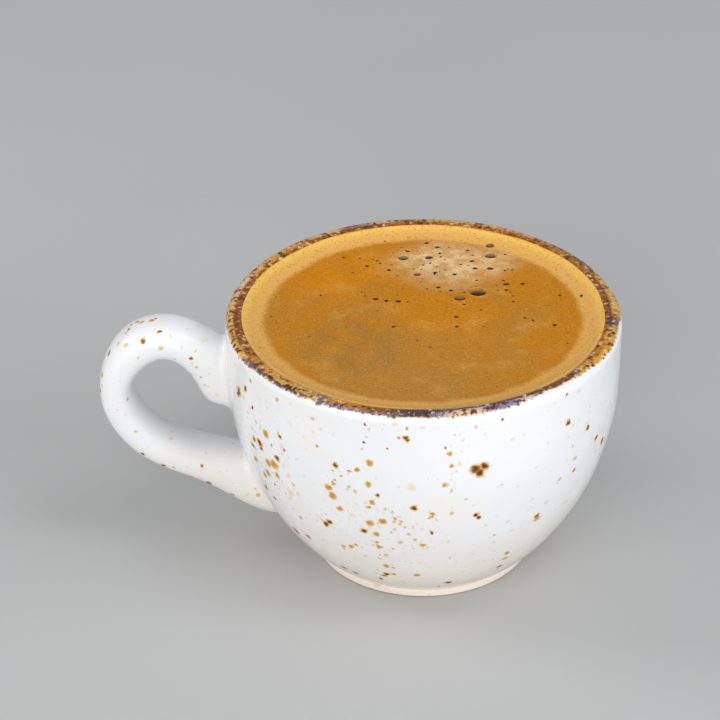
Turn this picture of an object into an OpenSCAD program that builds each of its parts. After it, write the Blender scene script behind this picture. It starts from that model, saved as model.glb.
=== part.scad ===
// Espresso in a thick-walled cup: one piece of glazed stoneware with an ear-shaped handle, filled
// with coffee up to a layer of crema that climbs the wall at its edge.
// The origin is the middle of the foot, on the table. +Z is up and the handle points to -X.

/* [Cup] */
// Outside width of the cup at its widest
cup_d = 66; // [58:0.5:90]
// Height of the cup from the table to its rim
cup_h = 45; // [40:0.5:70]
// Height of the upright band between the belly's curve and the rim
upright_h = 8.5; // [4:0.5:10]
// Thickness of the wall at the rim
wall = 3.2; // [2.6:0.1:4.5]
// Rounding of the rim towards the outside
rim_round_out = 1.5; // [0.6:0.1:1.6]
// Rounding of the rim towards the inside
rim_round_in = 0.8; // [0.4:0.1:0.9]
// Fullness of the inside near its floor, where 2 is an ellipse
inside_fullness = 2.4; // [2:0.1:3]

/* [Foot] */
// Outside width of the foot ring
foot_d = 37.5; // [32:0.5:46]
// Height of the foot ring
foot_h = 1.6; // [1.2:0.1:4]
// Width of the ring that stands on the table
foot_ring_w = 3; // [2:0.1:6]
// Rounding of the foot ring's outer edge
foot_round = 0.4; // [0.2:0.1:0.6]
// Height and depth of the narrow neck between the foot ring and the bowl
foot_neck = 0.25; // [0.1:0.05:0.4]
// Depth of the hollow underneath
foot_hollow = 1.5; // [1:0.1:3]
// Thickness of the floor above that hollow
floor_h = 3; // [2.5:0.1:6]

/* [Handle] */
// How far the handle stands out from the side of the cup
handle_reach = 21.5; // [18:0.5:30]
// Drop from the rim to the top of the handle
handle_drop = 1.6; // [0.5:0.1:3]
// Thickness of the handle's bar, seen from the side
handle_bar = 6.6; // [5:0.1:7.5]
// Width of the handle's bar, seen from its end
handle_w = 9.2; // [7:0.1:12]
// Drop from the rim to the upper root's top
upper_root_drop = 6.5; // [5:0.5:8]
// Height of the upper root on the cup's side
upper_root_h = 11.5; // [9:0.5:14]
// Height of the lower root's bottom above the table
lower_root_rise = 5; // [3.5:0.5:6]
// Height of the lower root on the cup's side
lower_root_h = 10; // [8:0.5:12]
// Roundness of the bar's section, where 2 is an ellipse
bar_squareness = 2.3; // [2:0.1:3]

/* [Coffee] */
// Depth from the rim to the crema's edge against the wall
fill_gap = 0.2; // [0.2:0.1:6]
// Rise of the crema from its level middle to that edge
edge_rise = 1.1; // [0.4:0.1:1.5]
// Width of the rising edge
edge_w = 3.2; // [2:0.1:5]
// Thickness of the crema in the middle
crema_h = 2.2; // [1.6:0.1:4]
// Depth of an open bubble, as a share of its width
bubble_depth = 0.42; // [0.3:0.01:0.48]

/* [Hidden] */
$fn = 96;

// How deep the handle's end rings sit in the wall
root_bite = wall * 0.5;
// How far the bowl overhangs the foot ring
bowl_overhang = 0.45;
// Steps along each curve of the profiles, and round each rim edge
curve_steps = 24;
edge_steps = 6;
// Rings along the handle and points round each ring
bar_rings = 52;
bar_sides = 26;
// Steps across the crema's rising edge, and how sharply it climbs
edge_curve_steps = 10;
edge_power = 1.5;
// Anything larger than the cup, for cutting the coffee at a level
beyond = cup_d + cup_h;

cup_r = cup_d / 2;
foot_r = foot_d / 2;
inside_r = cup_r - wall;
belly_z = cup_h - upright_h;
floor_z = foot_hollow + floor_h;
bowl_start_z = foot_h + foot_neck;
bowl_start_r = foot_r + bowl_overhang;
// Height of the ellipse that the belly is part of, from its start at the foot to the upright band
belly_h = (belly_z - bowl_start_z) / sqrt(1 - pow(bowl_start_r / cup_r, 2));
crema_edge_z = cup_h - fill_gap;
crema_z = crema_edge_z - edge_rise;
crema_under_z = crema_z - crema_h;

// Open bubbles in the crema: place across, place back, width
BUBBLES = [
    [9.5, 8.5, 2.8], [6, 6.5, 2], [-3.5, 20.5, 1.8], [1, 20.5, 1.5],
    [11.5, 21, 2], [11.5, 16.5, 1.3], [-1, 14.5, 1.4], [-8, 6.5, 1.3],
];

// Radius of the bowl's outside at a height
function bowl_r(z) = z > belly_z ? cup_r : cup_r * sqrt(1 - pow((belly_z - z) / belly_h, 2));

// Points of an arc round a centre, from one angle to another
function arc(centre, r, from, to, steps) =
    [for (i = [0 : steps]) let (a = from + (to - from) * i / steps) centre + r * [cos(a), sin(a)]];

// Foot, belly and outer half of the rim, from the table up
function outside_points() = concat(
    arc([foot_r - foot_round, foot_round], foot_round, -90, 0, edge_steps),
    [[foot_r, foot_h - foot_neck], [foot_r - foot_neck, foot_h]],
    [for (i = [0 : curve_steps])
        let (z = belly_z - (belly_z - bowl_start_z) * cos(90 * i / curve_steps)) [bowl_r(z), z]],
    arc([cup_r - rim_round_out, cup_h - rim_round_out], rim_round_out, 0, 90, edge_steps)
);

// Inner half of the rim and the inside, from the rim down to the middle of the floor
function inside_points() = concat(
    arc([inside_r + rim_round_in, cup_h - rim_round_in], rim_round_in, 90, 180, edge_steps),
    [for (i = [0 : curve_steps]) let (a = 90 * i / curve_steps, p = 2 / inside_fullness)
        [inside_r * pow(cos(a), p), belly_z - (belly_z - floor_z) * pow(sin(a), p)]]
);

// The hollow under the foot, from the middle out to the table
function hollow_points() =
    let (r = foot_r - foot_ring_w)
    [[0, foot_hollow], [r - foot_hollow, foot_hollow], [r, 0]];

// The bowl's whole inside, for whatever fills it
module inside_space() {
    rotate_extrude()
        polygon(concat([[0, cup_h]], inside_points()));
}

// An outer and an inner point of the handle's outline, on the bowl's side: a ring set into the wall
function root(outer_z, inner_z) =
    [bowl_r(outer_z) - root_bite, outer_z, bowl_r(inner_z) - root_bite, inner_z];

// The same pair of points on a free ring: its middle, its lean from upright, and half its thickness
function ring(r, z, lean, half) =
    [r + half * sin(lean), z + half * cos(lean), r - half * sin(lean), z - half * cos(lean)];

// A place in the handle's own frame: shares of its reach from the cup, and of its height
function out(share) = cup_r + handle_reach * share;
function up(share) =
    lower_root_rise + (cup_h - handle_drop - lower_root_rise) * share;

// Rings that guide the handle, from the upper root round to the lower one
function handle_guides() =
    let (
        half = handle_bar / 2,
        upper_top = cup_h - upper_root_drop,
        upper_mid = upper_top - upper_root_h / 2,
        lower_top = lower_root_rise + lower_root_h,
        lower_mid = lower_root_rise + lower_root_h / 2,
        upper = root(upper_top, upper_top - upper_root_h),
        lower = root(lower_root_rise, lower_top)
    ) [
        upper,
        upper,
        ring(bowl_r(upper_mid) + 1.1, upper_mid - 0.25, -35, upper_root_h / 2),
        ring(out(0.16), up(0.82), -20, half + 1.1),
        ring(out(0.42), up(0.94), 0, half),
        ring(out(0.745), up(0.885), 40, half + 0.9),
        ring(out(0.955), up(0.64), 110, half),
        ring(out(0.65), up(0.365), 145, half),
        ring(out(0.14), up(0.285), 160, half),
        ring(bowl_r(lower_mid) + 1.6, lower_mid + 1.5, 165, lower_root_h / 2 + 1.2),
        lower,
        lower,
    ];

// Cubic blend of four neighbouring guides, t from 0 to 1 between the middle two
function blend(g, i, t) =
    (pow(1 - t, 3) * g[i] + (3 * pow(t, 3) - 6 * pow(t, 2) + 4) * g[i + 1]
    + (-3 * pow(t, 3) + 3 * pow(t, 2) + 3 * t + 1) * g[i + 2] + pow(t, 3) * g[i + 3]) / 6;

// The pair of outline points at a share of the way along the handle
function handle_at(g, share) =
    let (s = share * (len(g) - 3), i = min(floor(s), len(g) - 4)) blend(g, i, s - i);

function signed_pow(v, p) = sign(v) * pow(abs(v), p);

// One ring: a rounded rectangle between its outer and inner points, as wide as the bar
function ring_points(pair) =
    let (
        mid = [pair[0] + pair[2], pair[1] + pair[3]] / 2,
        arm = [pair[0] - pair[2], pair[1] - pair[3]] / 2,
        p = 2 / bar_squareness
    )
    [for (k = [0 : bar_sides - 1])
        let (
            a = 360 * k / bar_sides,
            flat = mid + arm * signed_pow(sin(a), p)
        ) [-flat[0], handle_w / 2 * signed_pow(cos(a), p), flat[1]]];

// Triangles between neighbouring rings, and a fan over each end
function tube_faces(rings, sides) = concat(
    [for (i = [0 : rings - 2], k = [0 : sides - 1]) let (a = i * sides + k,
        b = i * sides + (k + 1) % sides) [a, b, a + sides]],
    [for (i = [0 : rings - 2], k = [0 : sides - 1]) let (a = i * sides + k,
        b = i * sides + (k + 1) % sides) [b, b + sides, a + sides]],
    [[for (k = [sides - 1 : -1 : 0]) k]],
    [[for (k = [0 : sides - 1]) (rings - 1) * sides + k]]
);

module handle() {
    guides = handle_guides();
    polyhedron(
        points = [for (i = [0 : bar_rings - 1])
            each ring_points(handle_at(guides, i / (bar_rings - 1)))],
        faces = tube_faces(bar_rings, bar_sides)
    );
}

// Bowl and handle, one piece of stoneware
module cup() {
    color("ivory")
        union() {
            rotate_extrude()
                polygon(concat(hollow_points(), outside_points(), inside_points()));
            handle();
        }
}

// Coffee from the floor up to the underside of the crema
module espresso() {
    color("saddlebrown")
        intersection() {
            inside_space();
            cylinder(h = crema_under_z, r = beyond);
        }
}

// Section of the crema: level in the middle, climbing to the wall over its last few millimetres
function crema_points() = concat(
    [[0, crema_under_z], [beyond, crema_under_z], [beyond, crema_edge_z]],
    [for (i = [edge_curve_steps : -1 : 0])
        let (u = i / edge_curve_steps)
        [inside_r - edge_w * (1 - u), crema_z + edge_rise * pow(u, edge_power)]],
    [[0, crema_z]]
);

// A ball that cuts an open bubble of a width into the crema's level middle
module bubble(x, y, w) {
    depth = w * bubble_depth;
    r = (w * w / 4 + depth * depth) / (2 * depth);
    translate([x, y, crema_z + r - depth])
        sphere(r = r, $fn = 48);
}

// Foam layer with a raised edge and its largest open bubbles
module crema() {
    color("peru")
        difference() {
            intersection() {
                inside_space();
                rotate_extrude()
                    polygon(crema_points());
            }
            for (b = BUBBLES)
                bubble(b[0], b[1], b[2]);
        }
}

cup();
espresso();
crema();
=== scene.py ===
"""Looks of an espresso in its speckled cup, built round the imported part.

Lengths are millimetres, as on a potter's drawing, and become metres as they enter a mesh. Angles
round the cup start at its front, where -Y is, and grow towards +X. The handle points to -X.
"""

import logging
import math
from dataclasses import dataclass
from enum import Enum
from functools import reduce

import bpy
import numpy as np
from mathutils import Matrix, Vector


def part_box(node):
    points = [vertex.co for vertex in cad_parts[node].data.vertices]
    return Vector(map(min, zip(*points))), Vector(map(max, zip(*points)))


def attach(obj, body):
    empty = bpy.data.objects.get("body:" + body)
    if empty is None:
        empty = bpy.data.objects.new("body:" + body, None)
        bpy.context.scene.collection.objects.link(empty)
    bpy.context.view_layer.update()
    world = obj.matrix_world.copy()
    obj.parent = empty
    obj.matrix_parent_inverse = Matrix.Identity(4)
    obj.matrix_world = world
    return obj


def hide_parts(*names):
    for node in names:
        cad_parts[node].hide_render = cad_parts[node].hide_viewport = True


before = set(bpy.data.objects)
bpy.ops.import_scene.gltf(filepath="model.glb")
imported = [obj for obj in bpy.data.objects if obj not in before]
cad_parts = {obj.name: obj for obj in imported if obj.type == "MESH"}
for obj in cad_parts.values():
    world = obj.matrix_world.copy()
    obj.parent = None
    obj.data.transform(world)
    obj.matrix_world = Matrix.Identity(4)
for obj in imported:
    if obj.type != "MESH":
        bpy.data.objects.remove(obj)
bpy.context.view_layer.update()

LOG = logging.getLogger("espresso")
MM = 0.001
ROOT = "root"
Colour = tuple[float, float, float]
Place = tuple[float, float, float]


class Slot(Enum):
    """The record's material slots, which settle names in the log for each new piece."""

    GLAZE = "glaze"
    CREMA = "crema"


class SpotKind(Enum):
    """What an iron speck in the glaze has burnt to."""

    DARK = "dark"
    OCHRE = "ochre"
    FAINT = "faint"


class BubbleKind(Enum):
    """How much of the coffee a bubble in the crema lets through."""

    CLEAR = "clear"
    CLOUDED = "clouded"


@dataclass(frozen=True)
class Bubble:
    """One bubble in the crema: place across, place towards the back, and width, in mm."""

    x: float
    y: float
    width: float
    kind: BubbleKind = BubbleKind.CLEAR


# --- Sizes ---


@dataclass(frozen=True)
class CupSizes:
    """Sizes of the bowl, foot and rim in mm. The three without a value come from the frame."""

    radius: float
    height: float
    reach: float
    upright: float = 8.5
    wall: float = 3.2
    round_out: float = 1.5
    round_in: float = 0.8
    foot_radius: float = 18.75
    foot_height: float = 1.6
    foot_ring: float = 3.0
    foot_round: float = 0.4
    foot_neck: float = 0.25
    foot_hollow: float = 1.5
    foot_cove: float = 0.8
    foot_tread: float = 0.5
    overhang: float = 0.45
    floor: float = 3.0
    fullness: float = 2.4

    @classmethod
    def from_frame(cls) -> "CupSizes":
        """The cup's overall sizes, read from its node's box."""
        low, high = (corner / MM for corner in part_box("cup"))
        return cls(radius=high.x, height=high.z, reach=-low.x - high.x)

    @property
    def belly_z(self) -> float:
        """Height at which the belly's curve turns upright."""
        return self.height - self.upright

    @property
    def start_z(self) -> float:
        """Height at which the belly's curve leaves the foot."""
        return self.foot_height + self.foot_neck

    @property
    def inside_radius(self) -> float:
        """Radius of the upright part of the inside."""
        return self.radius - self.wall

    def bowl_radius(self, z: np.ndarray) -> np.ndarray:
        """Radius of the outside at a height: an ellipse's arc below the upright band.

        Args:
            z: heights in mm.

        Returns:
            R * sqrt(1 - ((belly - z) / h)^2), where h makes the arc start at the foot.
        """
        start = (self.foot_radius + self.overhang) / self.radius
        tall = (self.belly_z - self.start_z) / math.sqrt(1 - start**2)
        below = np.maximum(self.belly_z - np.asarray(z, float), 0) / tall
        return self.radius * np.sqrt(np.maximum(1 - below**2, 0))

    def bowl_slope(self, z: np.ndarray) -> np.ndarray:
        """Change of the outside's radius with height, by a small central difference."""
        step = 0.05
        return (self.bowl_radius(z + step) - self.bowl_radius(z - step)) / (2 * step)

    def on_side(self, angle: float, height: float) -> Place:
        """The point of the outside at an angle in degrees and a height."""
        turn, r = math.radians(angle), float(self.bowl_radius(height))
        return (r * math.sin(turn), -r * math.cos(turn), height)


@dataclass(frozen=True)
class HandleSizes:
    """Sizes of the ear-shaped handle in mm, as the part's source has them."""

    drop: float = 1.6
    bar: float = 6.6
    width: float = 9.2
    upper_drop: float = 6.5
    upper_tall: float = 11.5
    lower_rise: float = 5.0
    lower_tall: float = 10.0
    squareness: float = 2.3
    bite: float = 1.6
    fillet: float = 1.6


@dataclass(frozen=True)
class CremaSizes:
    """Levels and widths of the crema in mm."""

    edge_z: float
    under_z: float
    inside_radius: float
    rise: float = 1.1
    edge_width: float = 3.2
    into_wall: float = 0.42

    @classmethod
    def from_frame(cls, cup: CupSizes) -> "CremaSizes":
        """The crema's levels, read from its node's box."""
        low, high = (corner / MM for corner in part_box("crema"))
        return cls(edge_z=high.z, under_z=low.z, inside_radius=cup.inside_radius)

    @property
    def level(self) -> float:
        """Height of the crema's level middle."""
        return self.edge_z - self.rise


# --- Mesh tools ---


def arc(centre: tuple[float, float], r: float, start: float, stop: float, n: int) -> np.ndarray:
    """Points of an arc in the plane: centre + r * (cos a, sin a), for a from start to stop.

    Args:
        centre: the arc's centre.
        r: its radius.
        start: first angle in degrees.
        stop: last angle in degrees.
        n: how many points.

    Returns:
        An array of n rows of 2.
    """
    a = np.radians(np.linspace(start, stop, n))
    return np.asarray(centre) + r * np.stack([np.cos(a), np.sin(a)], axis=1)


def grid_quads(rows: int, columns: int) -> np.ndarray:
    """Quads of a grid whose columns close on themselves, facing away from column x row.

    Args:
        rows: points along each column.
        columns: points round each row.

    Returns:
        An array of (rows - 1) * columns rows of 4 point numbers.
    """
    r, c = np.meshgrid(np.arange(rows - 1), np.arange(columns), indexing="ij")
    here, right = r * columns + c, r * columns + (c + 1) % columns
    return np.stack([here, right, right + columns, here + columns], axis=-1).reshape(-1, 4)


def fan(ring: np.ndarray, pole: int, flip: bool) -> np.ndarray:
    """Triangles from a pole to each pair of neighbours of a ring.

    Args:
        ring: point numbers round the ring.
        pole: the pole's number.
        flip: whether the triangles are turned over.

    Returns:
        Rows of 3 point numbers.
    """
    after = np.roll(ring, -1)
    centre = np.full_like(ring, pole)
    order = (centre, after, ring) if flip else (centre, ring, after)
    return np.stack(order, axis=1)


def closed_grid(points: np.ndarray, first: np.ndarray, last: np.ndarray) -> tuple:
    """A grid of rings closed by a pole at each end.

    Args:
        points: rings x points x 3.
        first: the pole before the first ring.
        last: the pole after the last ring.

    Returns:
        All the points, the quads and the triangles.
    """
    rings, around = points.shape[:2]
    flat = np.concatenate([points.reshape(-1, 3), [first], [last]])
    count = rings * around
    start, end = np.arange(around), np.arange(count - around, count)
    triangles = np.concatenate([fan(start, count, True), fan(end, count + 1, False)])
    return flat, grid_quads(rings, around), triangles


def linked(name: str, data: bpy.types.ID) -> bpy.types.Object:
    """A new object of that name and data, linked to the scene."""
    made = bpy.data.objects.new(name, data)
    bpy.context.scene.collection.objects.link(made)
    return made


def make_mesh(name: str, points: np.ndarray, quads: np.ndarray, triangles: np.ndarray,
              values: dict[str, np.ndarray] | None = None) -> bpy.types.Object:
    """Puts arrays into a smooth-shaded mesh object at the origin.

    Args:
        name: the object's name.
        points: points in mm.
        quads: rows of 4 point numbers.
        triangles: rows of 3 point numbers.
        values: numbers for each point, by attribute name.

    Returns:
        The new object, linked to the scene.
    """
    mesh = bpy.data.meshes.new(name)
    mesh.vertices.add(len(points))
    mesh.vertices.foreach_set("co", (points * MM).astype(np.float32).ravel())
    loops = np.concatenate([quads.ravel(), triangles.ravel()]).astype(np.int32)
    totals = np.concatenate([np.full(len(quads), 4), np.full(len(triangles), 3)])
    starts = np.concatenate([[0], np.cumsum(totals)[:-1]]).astype(np.int32)
    mesh.loops.add(len(loops))
    mesh.loops.foreach_set("vertex_index", loops)
    mesh.polygons.add(len(totals))
    mesh.polygons.foreach_set("loop_start", starts)
    mesh.polygons.foreach_set("use_smooth", np.ones(len(totals), bool))
    for key, value in (values or {}).items():
        attribute = mesh.attributes.new(key, "FLOAT", "POINT")
        attribute.data.foreach_set("value", value.astype(np.float32))
    mesh.update(calc_edges=True)
    mesh.validate()
    return linked(name, mesh)


def merged(first: bpy.types.Object, second: bpy.types.Object) -> bpy.types.Object:
    """Joins two solids that overlap into one closed solid.

    Args:
        first: the object that stays.
        second: the object that is joined to it and removed.

    Returns:
        The first object, with its new mesh.
    """
    union = first.modifiers.new("join", "BOOLEAN")
    union.operation = "UNION"
    union.solver = "MANIFOLD"
    union.object = second
    graph = bpy.context.evaluated_depsgraph_get()
    mesh = bpy.data.meshes.new_from_object(first.evaluated_get(graph))
    first.modifiers.clear()
    first.data = mesh
    mesh.polygons.foreach_set("use_smooth", np.ones(len(mesh.polygons), bool))
    bpy.data.objects.remove(second)
    return first


def waves(angle: np.ndarray, z: np.ndarray | float, rows: tuple) -> np.ndarray:
    """Hand-thrown unevenness in mm: the sum of size * sin(turns * angle + climb * z + start).

    Args:
        angle: angles round the cup in radians.
        z: heights in mm.
        rows: size, turns, climb and start of each wave.

    Returns:
        The sum at each point.
    """
    return sum(size * np.sin(turns * angle + climb * z + start) for size, turns, climb, start in rows)


# --- Shader tools ---


class Value:
    """An output socket of a material. Python arithmetic on it adds nodes of its own kind."""

    node_kind = ""

    def __init__(self, net: "Net", socket: bpy.types.NodeSocket) -> None:
        """Wraps an output socket of a net's tree."""
        self.net = net
        self.socket = socket

    def _node(self, operation: str, *values: object) -> bpy.types.Node:
        """A node of this kind that puts the values through an operation."""
        return self.net.node(self.node_kind, {"operation": operation}, dict(enumerate(values)))

    def _same(self, operation: str, *values: object) -> "Value":
        """The outcome of an operation, as a value of this kind."""
        return type(self)(self.net, self._node(operation, *values).outputs[0])

    def __add__(self, other: object) -> "Value":
        """self + other."""
        return self._same("ADD", self, other)

    __radd__ = __add__

    def __sub__(self, other: object) -> "Value":
        """self - other."""
        return self._same("SUBTRACT", self, other)

    def __rsub__(self, other: object) -> "Value":
        """other - self."""
        return self._same("SUBTRACT", other, self)

    def __mul__(self, other: object) -> "Value":
        """self * other."""
        return self._same("MULTIPLY", self, other)

    __rmul__ = __mul__

    def __truediv__(self, other: object) -> "Value":
        """self / other."""
        return self._same("DIVIDE", self, other)

    def __rtruediv__(self, other: object) -> "Value":
        """other / self."""
        return self._same("DIVIDE", other, self)


class Wire(Value):
    """A shader number."""

    node_kind = "ShaderNodeMath"

    def __lt__(self, other: "Wire | float") -> "Wire":
        """1 where self is less than other, else 0."""
        return self._same("LESS_THAN", self, other)

    def max(self, other: "Wire | float") -> "Wire":
        """The larger of the two."""
        return self._same("MAXIMUM", self, other)

    def turn_of(self, other: "Wire") -> "Wire":
        """The angle whose tangent is self / other, in radians."""
        return self._same("ARCTAN2", self, other)

    def step(self, low: float, high: float) -> "Wire":
        """A smooth step from 0 at low to 1 at high, which may be the smaller of the two."""
        sockets = {"Value": self, "From Min": low, "From Max": high}
        smooth = {"interpolation_type": "SMOOTHSTEP"}
        return Wire(self.net, self.net.node("ShaderNodeMapRange", smooth, sockets).outputs[0])


class Arrow(Value):
    """A shader vector, place or colour."""

    node_kind = "ShaderNodeVectorMath"

    def _node(self, operation: str, *values: object) -> bpy.types.Node:
        """The same node, where a plain number stands for three equal parts."""
        return super()._node(operation, *((v,) * 3 if isinstance(v, float) else v for v in values))

    def distance(self, other: Place) -> Wire:
        """How far self is from a place."""
        return Wire(self.net, self._node("DISTANCE", self, other).outputs["Value"])

    def length(self) -> Wire:
        """How long self is."""
        return Wire(self.net, self._node("LENGTH", self).outputs["Value"])

    def parts(self) -> tuple[Wire, Wire, Wire]:
        """Its three numbers."""
        outputs = self.net.node("ShaderNodeSeparateXYZ", {}, {0: self}).outputs
        return tuple(Wire(self.net, socket) for socket in outputs)


Tint = Arrow | Colour


class Net:
    """A material's node tree."""

    def __init__(self, name: str) -> None:
        """An empty tree in a new material.

        Args:
            name: the material's name.
        """
        self.material = bpy.data.materials.new(name)
        self.material.use_nodes = True
        self.tree = self.material.node_tree
        self.tree.nodes.clear()

    def node(self, kind: str, settings: dict | None = None,
             sockets: dict | None = None) -> bpy.types.Node:
        """A node of any kind.

        Args:
            kind: the node's type.
            settings: its properties, set first; "stops" are a ramp's (place, colour) pairs.
            sockets: values or links for its inputs, by name or number.

        Returns:
            The node.
        """
        made = self.tree.nodes.new(kind)
        for key, value in (settings or {}).items():
            if key == "stops":
                self._set_stops(made.color_ramp, value)
            else:
                setattr(made, key, value)
        for key, value in (sockets or {}).items():
            self._plug(made.inputs[key], value)
        return made

    def _plug(self, socket: bpy.types.NodeSocket, value: object) -> None:
        """Gives an input a link or a value.

        Args:
            socket: the input.
            value: a shader value to link, or a plain one to set.
        """
        if isinstance(value, Value):
            self.tree.links.new(value.socket, socket)
        elif socket.type == "RGBA":
            socket.default_value = (*value, 1.0)
        else:
            socket.default_value = value

    @staticmethod
    def _set_stops(ramp: bpy.types.ColorRamp, stops: list[tuple[float, Colour]]) -> None:
        """Gives a ramp its stops.

        Args:
            ramp: the ramp, which holds 32 stops at most.
            stops: places from 0 to 1 in order, with their colours.
        """
        while len(ramp.elements) > 1:
            ramp.elements.remove(ramp.elements[-1])
        for i, (place, colour) in enumerate(stops):
            element = ramp.elements[0] if i == 0 else ramp.elements.new(place)
            element.position = place
            element.color = (*colour, 1.0)

    def place(self) -> Arrow:
        """The shaded point in the part's frame, in mm."""
        return Arrow(self, self.node("ShaderNodeTexCoord").outputs["Object"]) * (1 / MM)

    def attribute(self, name: str) -> Wire:
        """A number that the mesh keeps for each point."""
        return Wire(self, self.node("ShaderNodeAttribute", {"attribute_name": name}).outputs["Fac"])

    def noise(self, at: Arrow, per_mm: float, detail: float = 2.0) -> Wire:
        """Smooth noise about 0.5, with so many features to a mm."""
        sockets = {"Vector": at, "Scale": per_mm, "Detail": detail}
        return Wire(self, self.node("ShaderNodeTexNoise", {}, sockets).outputs[0])

    def shake(self, at: Arrow, per_mm: float, by: float) -> Arrow:
        """A place moved by noise, up to about half of by each way."""
        noise = self.node("ShaderNodeTexNoise", {}, {"Vector": at, "Scale": per_mm, "Detail": 1.0})
        return at + (Arrow(self, noise.outputs["Color"]) - (0.5, 0.5, 0.5)) * by

    def cells(self, at: Arrow, per_mm: float) -> tuple[Wire, Wire, Wire]:
        """Scattered points.

        Args:
            at: where.
            per_mm: cells to a mm.

        Returns:
            The distance to the nearest point in mm, and two random numbers that belong to it.
        """
        node = self.node("ShaderNodeTexVoronoi", {}, {"Vector": at, "Scale": per_mm})
        first, second, _ = Arrow(self, node.outputs["Color"]).parts()
        return Wire(self, node.outputs["Distance"]) * (1 / per_mm), first, second

    def blend(self, below: Tint, *coats: tuple[Tint, Wire | float]) -> Tint:
        """Lays coats of colour over a colour, one after another.

        Args:
            below: the colour under all of them.
            coats: each coat's colour and how much it covers, from 0 to 1.

        Returns:
            The colour on top.
        """
        for tint, share in coats:
            sockets = {0: share, 6: below, 7: tint}
            below = Arrow(self, self.node("ShaderNodeMix", {"data_type": "RGBA"}, sockets).outputs[2])
        return below

    def join(self, x: Wire, y: Wire, z: Wire) -> Arrow:
        """A vector of three numbers."""
        return Arrow(self, self.node("ShaderNodeCombineXYZ", {}, {0: x, 1: y, 2: z}).outputs[0])

    def tint_by_turn(self, turn: Wire, tints: dict[float, Colour]) -> Arrow:
        """A colour looked up by the angle round the cup.

        Args:
            turn: the angle in radians.
            tints: colours by degrees, from -180 to 180 in order.

        Returns:
            The colour, which changes evenly from each to the next.
        """
        stops = [((degrees + 180) / 360, colour) for degrees, colour in tints.items()]
        share = turn * (0.5 / math.pi) + 0.5
        return Arrow(self, self.node("ShaderNodeValToRGB", {"stops": stops}, {0: share}).outputs[0])

    def level_by_turn(self, turn: Wire, levels: dict[float, float]) -> Wire:
        """A number looked up in the same way, from numbers by degrees."""
        greys = {degrees: (level, level, level) for degrees, level in levels.items()}
        return self.tint_by_turn(turn, greys).parts()[0]

    def bump(self, height: Wire, strength: float, distance: float) -> Arrow:
        """The normal of a surface raised by height times a distance in mm."""
        sockets = {"Height": height, "Strength": strength, "Distance": distance * MM}
        return Arrow(self, self.node("ShaderNodeBump", {}, sockets).outputs[0])

    def finish(self, sockets: dict[str, object]) -> bpy.types.Material:
        """Ends the tree in a Principled shader.

        Args:
            sockets: its values and links, by name.

        Returns:
            The material.
        """
        surface = self.node("ShaderNodeBsdfPrincipled", {}, sockets)
        output = self.node("ShaderNodeOutputMaterial")
        self.tree.links.new(surface.outputs[0], output.inputs[0])
        return self.material


# --- Finishes ---

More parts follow.
